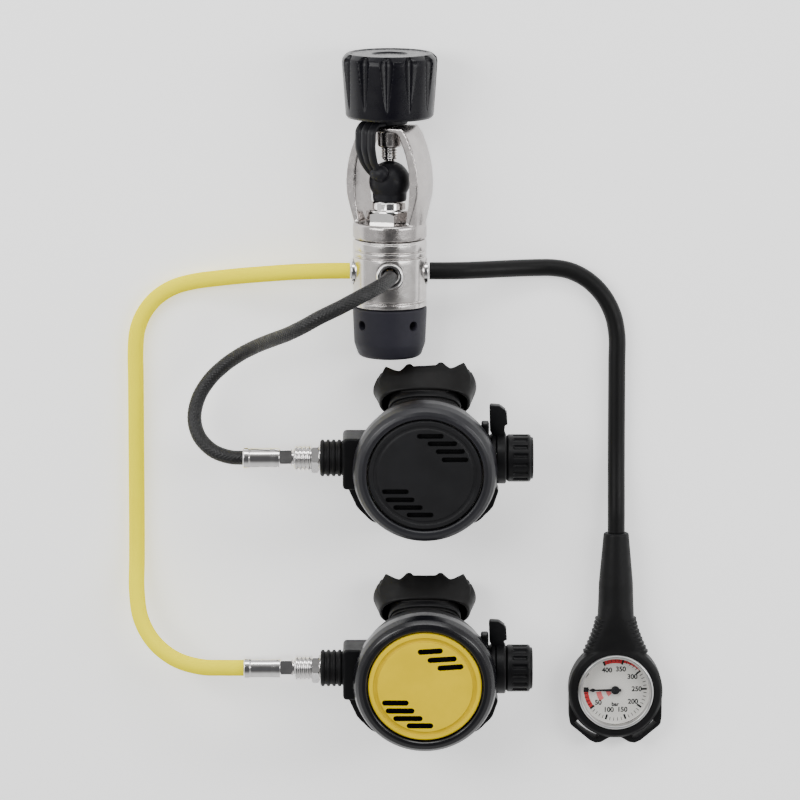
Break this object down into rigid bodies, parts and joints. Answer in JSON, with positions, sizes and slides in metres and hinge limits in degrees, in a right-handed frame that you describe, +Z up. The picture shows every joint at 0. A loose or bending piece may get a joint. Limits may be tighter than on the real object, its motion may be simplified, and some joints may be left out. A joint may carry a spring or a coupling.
{
  "type": "scuba regulator set",
  "caption": "Scuba regulator set laid out flat: yoke first stage, primary and octopus second stages on hoses, and a pressure gauge in a rubber boot.",
  "frame": {"origin": "centre of the box round everything but the hoses, on the table", "axes": "+Y from the gauge end towards the yoke knob, +X from the second stages' hose ends towards their knobs, +Z up from the table"},
  "size_m": [0.2802, 0.366, 0.0793],
  "materials": {
    "pearl_chrome": "satin",
    "satin_nickel": "satin",
    "bright_chrome": "polished",
    "charcoal_gloss": "satin",
    "charcoal_matte": "matte",
    "black_rubber": "matte",
    "spring_steel": "satin",
    "brass_part": "machined",
    "sintered_bronze": "granular",
    "black_plastic": "satin",
    "clear_silicone": "satin",
    "mouth_silicone": "satin",
    "boot_rubber": "matte",
    "satin_steel": "satin",
    "clear_lens": "clear",
    "dial_white": "matte",
    "needle_black": "satin",
    "bourdon_bronze": "satin",
    "yellow_hose": "satin",
    "black_braid": "woven",
    "cover_charcoal": "satin",
    "cover_yellow": "satin"
  },
  "bodies": {
    "regulator_set": {"first_stage_body": "pearl_chrome", "yoke": "satin_nickel", "yoke_retainer": "bright_chrome", "end_cap": "charcoal_matte", "main_spring": "spring_steel", "spring_adjuster": "brass_part", "first_stage_diaphragm": "black_rubber", "first_stage_poppet_spring": "spring_steel", "inlet_filter": "sintered_bronze", "port_plugs": "bright_chrome", "port_fittings": "bright_chrome", "octopus_hose": "yellow_hose", "primary_hose": "black_braid", "gauge_hose": "black_rubber", "hose_ferrules": "bright_chrome", "mouthpiece_ties": "black_plastic", "primary_inlet_collar": "black_rubber", "primary_case": "black_plastic", "primary_cover_ring": "black_plastic", "primary_diaphragm": "clear_silicone", "primary_valve_barrel": "brass_part", "primary_poppet_spring": "spring_steel", "primary_exhaust_tee": "black_plastic", "primary_mouthpiece": "mouth_silicone", "octopus_inlet_collar": "black_rubber", "octopus_case": "black_plastic", "octopus_cover_ring": "black_plastic", "octopus_diaphragm": "clear_silicone", "octopus_valve_barrel": "brass_part", "octopus_poppet_spring": "spring_steel", "octopus_exhaust_tee": "black_plastic", "octopus_mouthpiece": "mouth_silicone"},
    "yoke_screw": {"yoke_screw": "bright_chrome"},
    "yoke_knob": {"yoke_knob": "charcoal_gloss"},
    "dust_cap": {"dust_cap": "black_rubber"},
    "first_stage_poppet": {"first_stage_poppet": "spring_steel"},
    "primary_swivel_nut": {"primary_swivel_nut": "bright_chrome"},
    "primary_purge_cover": {"primary_purge_cover": "cover_charcoal"},
    "primary_demand_lever": {"primary_demand_lever": "spring_steel"},
    "primary_poppet": {"primary_poppet": "spring_steel"},
    "primary_adjust_screw": {"primary_adjust_screw": "brass_part"},
    "primary_adjust_knob": {"primary_adjust_knob": "black_plastic"},
    "primary_venturi_lever": {"primary_venturi_lever": "black_plastic"},
    "primary_exhaust_valve": {"primary_exhaust_valve": "clear_silicone"},
    "octopus_swivel_nut": {"octopus_swivel_nut": "bright_chrome"},
    "octopus_purge_cover": {"octopus_purge_cover": "cover_yellow"},
    "octopus_demand_lever": {"octopus_demand_lever": "spring_steel"},
    "octopus_poppet": {"octopus_poppet": "spring_steel"},
    "octopus_adjust_screw": {"octopus_adjust_screw": "brass_part"},
    "octopus_adjust_knob": {"octopus_adjust_knob": "black_plastic"},
    "octopus_venturi_lever": {"octopus_venturi_lever": "black_plastic"},
    "octopus_exhaust_valve": {"octopus_exhaust_valve": "clear_silicone"},
    "gauge_head": {"gauge_boot": "boot_rubber", "gauge_case": "bright_chrome", "gauge_bezel": "satin_steel", "gauge_lens": "clear_lens", "gauge_dial": "dial_white", "gauge_bourdon_tube": "bourdon_bronze"},
    "gauge_needle": {"gauge_needle": "needle_black"}
  },
  "joints": [
    {"name": "yoke_knob_turn", "type": "hinge", "parent": "yoke_screw", "child": "yoke_knob", "pos_m": [-0.0337, 0.14844, 0.02354], "axis": [0, 0.9991, 0.0431], "range_deg": [0, 2161]},
    {"name": "yoke_screw_travel", "type": "slide", "parent": "regulator_set", "child": "yoke_screw", "axis": [0, 0.9991, 0.0431], "range_m": [0, 0.0084]},
    {"name": "dust_cap_swing", "type": "hinge", "parent": "regulator_set", "child": "dust_cap", "pos_m": [-0.0337, 0.11577, 0.02213], "axis": [0, 0.9991, 0.0431], "range_deg": [0, 20]},
    {"name": "first_stage_poppet_lift", "type": "slide", "parent": "regulator_set", "child": "first_stage_poppet", "axis": [0, 0.9991, 0.0431], "range_m": [0, 0.0008], "stiffness_N_per_m": 400, "springref_m": -0.0005, "deforming": ["first_stage_poppet_spring"]},
    {"name": "primary_purge_press", "type": "slide", "parent": "regulator_set", "child": "primary_purge_cover", "axis": [0, 0.1564, -0.9877], "range_m": [0, 0.003], "stiffness_N_per_m": 500, "springref_m": -0.002, "deforming": ["primary_diaphragm"]},
    {"name": "primary_lever_tilt", "type": "hinge", "parent": "regulator_set", "child": "primary_demand_lever", "pos_m": [-0.0105, -0.02758, 0.04697], "axis": [0, 0.9877, 0.1564], "range_deg": [-11, 0]},
    {"name": "primary_poppet_lift", "type": "slide", "parent": "regulator_set", "child": "primary_poppet", "axis": [1, 0, 0], "range_m": [0, 0.0017], "deforming": ["primary_poppet_spring"]},
    {"name": "primary_effort_turn", "type": "hinge", "parent": "regulator_set", "child": "primary_adjust_knob", "pos_m": [0.0295, -0.02623, 0.03847], "axis": [1, 0, 0], "range_deg": [-721, 0]},
    {"name": "primary_effort_travel", "type": "slide", "parent": "regulator_set", "child": "primary_adjust_screw", "axis": [1, 0, 0], "range_m": [-0.004, 0]},
    {"name": "primary_venturi_turn", "type": "hinge", "parent": "regulator_set", "child": "primary_venturi_lever", "pos_m": [0.0235, -0.02623, 0.03847], "axis": [1, 0, 0], "range_deg": [-70, 0]},
    {"name": "primary_exhaust_lift", "type": "slide", "parent": "regulator_set", "child": "primary_exhaust_valve", "axis": [0, -0.1045, -0.9945], "range_m": [0, 0.0012], "stiffness_N_per_m": 60, "springref_m": -0.001},
    {"name": "primary_swivel_turn", "type": "hinge", "parent": "regulator_set", "child": "primary_swivel_nut", "pos_m": [-0.0755, -0.02623, 0.03847], "axis": [1, 0, 0], "continuous": true},
    {"name": "octopus_purge_press", "type": "slide", "parent": "regulator_set", "child": "octopus_purge_cover", "axis": [0, 0.1564, -0.9877], "range_m": [0, 0.003], "stiffness_N_per_m": 500, "springref_m": -0.002, "deforming": ["octopus_diaphragm"]},
    {"name": "octopus_lever_tilt", "type": "hinge", "parent": "regulator_set", "child": "octopus_demand_lever", "pos_m": [-0.0105, -0.13808, 0.04697], "axis": [0, 0.9877, 0.1564], "range_deg": [-11, 0]},
    {"name": "octopus_poppet_lift", "type": "slide", "parent": "regulator_set", "child": "octopus_poppet", "axis": [1, 0, 0], "range_m": [0, 0.0017], "deforming": ["octopus_poppet_spring"]},
    {"name": "octopus_effort_turn", "type": "hinge", "parent": "regulator_set", "child": "octopus_adjust_knob", "pos_m": [0.0295, -0.13673, 0.03847], "axis": [1, 0, 0], "range_deg": [-721, 0]},
    {"name": "octopus_effort_travel", "type": "slide", "parent": "regulator_set", "child": "octopus_adjust_screw", "axis": [1, 0, 0], "range_m": [-0.004, 0]},
    {"name": "octopus_venturi_turn", "type": "hinge", "parent": "regulator_set", "child": "octopus_venturi_lever", "pos_m": [0.0235, -0.13673, 0.03847], "axis": [1, 0, 0], "range_deg": [-70, 0]},
    {"name": "octopus_exhaust_lift", "type": "slide", "parent": "regulator_set", "child": "octopus_exhaust_valve", "axis": [0, -0.1045, -0.9945], "range_m": [0, 0.0012], "stiffness_N_per_m": 60, "springref_m": -0.001},
    {"name": "octopus_swivel_turn", "type": "hinge", "parent": "regulator_set", "child": "octopus_swivel_nut", "pos_m": [-0.0755, -0.13673, 0.03847], "axis": [1, 0, 0], "continuous": true},
    {"name": "gauge_swivel", "type": "hinge", "parent": "regulator_set", "child": "gauge_head", "pos_m": [0.0849, -0.09, 0.0095], "axis": [0, 1, 0], "continuous": true},
    {"name": "gauge_needle_turn", "type": "hinge", "parent": "gauge_head", "child": "gauge_needle", "pos_m": [0.0849, -0.154, 0.0115], "axis": [0, 0, 1], "range_deg": [0, 293], "stiffness_Nm_per_rad": 0.0001}
  ],
  "couplings": [
    {"joint": "yoke_knob_turn", "follows": "yoke_screw_travel", "rad_per_m": 4488},
    {"joint": "primary_lever_tilt", "follows": "primary_purge_press", "rad_per_m": -61.7},
    {"joint": "primary_poppet_lift", "follows": "primary_purge_press", "ratio": 0.5333},
    {"joint": "primary_effort_turn", "follows": "primary_effort_travel", "rad_per_m": 3141.6},
    {"joint": "octopus_lever_tilt", "follows": "octopus_purge_press", "rad_per_m": -61.7},
    {"joint": "octopus_poppet_lift", "follows": "octopus_purge_press", "ratio": 0.5333},
    {"joint": "octopus_effort_turn", "follows": "octopus_effort_travel", "rad_per_m": 3141.6}
  ]
}
